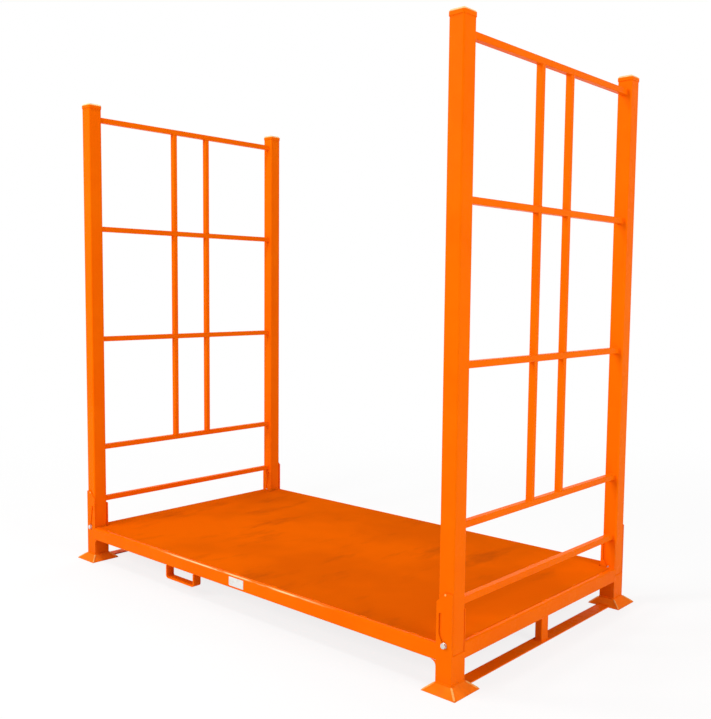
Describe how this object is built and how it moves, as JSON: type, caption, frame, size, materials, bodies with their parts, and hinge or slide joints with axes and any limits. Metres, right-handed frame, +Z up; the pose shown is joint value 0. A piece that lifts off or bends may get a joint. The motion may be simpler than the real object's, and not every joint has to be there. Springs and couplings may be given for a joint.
{
  "type": "tyre storage rack",
  "caption": "Folding stackable steel rack for tyres: sheet-decked pallet base with fork openings and flared feet, and two ladder end frames that fold down flat.",
  "frame": {"origin": "on the floor under the middle of the rack", "axes": "+X along the long side towards the right end frame, +Y from the front to the rear, +Z up"},
  "size_m": [2.3, 1.36, 2.25],
  "materials": {
    "powder_coat": "glossy orange powder coat on steel tube, sheet and plate",
    "zinc": "bright zinc-plated fasteners",
    "label": "blank off-white label plate"
  },
  "bodies": {
    "base": {"front_beam": "powder_coat", "rear_beam": "powder_coat", "front_stirrup": "powder_coat", "rear_stirrup": "powder_coat", "deck_sheet": "powder_coat", "deck_cross_member_1": "powder_coat", "deck_cross_member_2": "powder_coat", "deck_cross_member_3": "powder_coat", "label_plate": "label", "corner_gussets": "powder_coat", "right_end_beam": "powder_coat", "right_ground_rail": "powder_coat", "right_centre_stub": "powder_coat", "left_end_beam": "powder_coat", "left_ground_rail": "powder_coat", "left_centre_stub": "powder_coat", "outer_cheek_front_right": "powder_coat", "inner_cheek_front_right": "powder_coat", "socket_channel_front_right": "powder_coat", "foot_front_right": "powder_coat", "outer_cheek_rear_right": "powder_coat", "inner_cheek_rear_right": "powder_coat", "socket_channel_rear_right": "powder_coat", "foot_rear_right": "powder_coat", "outer_cheek_front_left": "powder_coat", "inner_cheek_front_left": "powder_coat", "socket_channel_front_left": "powder_coat", "foot_front_left": "powder_coat", "outer_cheek_rear_left": "powder_coat", "inner_cheek_rear_left": "powder_coat", "socket_channel_rear_left": "powder_coat", "foot_rear_left": "powder_coat"},
    "right_pivots": {"right_pivot_bolts": "zinc", "right_pivot_washers": "zinc"},
    "right_frame": {"upright_front_right": "powder_coat", "cap_front_right": "powder_coat", "vertical_bar_front_right": "powder_coat", "upright_rear_right": "powder_coat", "cap_rear_right": "powder_coat", "vertical_bar_rear_right": "powder_coat", "right_rung_1": "powder_coat", "right_rung_2": "powder_coat", "right_rung_3": "powder_coat", "right_rung_4": "powder_coat", "right_rung_5": "powder_coat", "right_pivot_sleeves": "powder_coat"},
    "left_pivots": {"left_pivot_bolts": "zinc", "left_pivot_washers": "zinc"},
    "left_frame": {"upright_front_left": "powder_coat", "cap_front_left": "powder_coat", "vertical_bar_front_left": "powder_coat", "upright_rear_left": "powder_coat", "cap_rear_left": "powder_coat", "vertical_bar_rear_left": "powder_coat", "left_rung_1": "powder_coat", "left_rung_2": "powder_coat", "left_rung_3": "powder_coat", "left_rung_4": "powder_coat", "left_rung_5": "powder_coat", "left_pivot_sleeves": "powder_coat"}
  },
  "joints": [
    {"name": "lift_right", "type": "slide", "parent": "base", "child": "right_pivots", "axis": [-0.4472, 0, 0.8944], "range_m": [0, 0.04045]},
    {"name": "fold_right", "type": "hinge", "parent": "right_pivots", "child": "right_frame", "pos_m": [1.08, 0, 0.165], "axis": [0, -1, 0], "range_deg": [0, 90]},
    {"name": "lift_left", "type": "slide", "parent": "base", "child": "left_pivots", "axis": [0.1738, 0, 0.9848], "range_m": [0, 0.10378]},
    {"name": "fold_left", "type": "hinge", "parent": "left_pivots", "child": "left_frame", "pos_m": [-1.08, 0, 0.165], "axis": [0, 1, 0], "range_deg": [0, 90]}
  ],
  "couplings": [
    {"joint": "lift_right", "follows": "fold_right", "m_per_rad": 0.025623},
    {"joint": "lift_left", "follows": "fold_left", "m_per_rad": 0.065939}
  ]
}
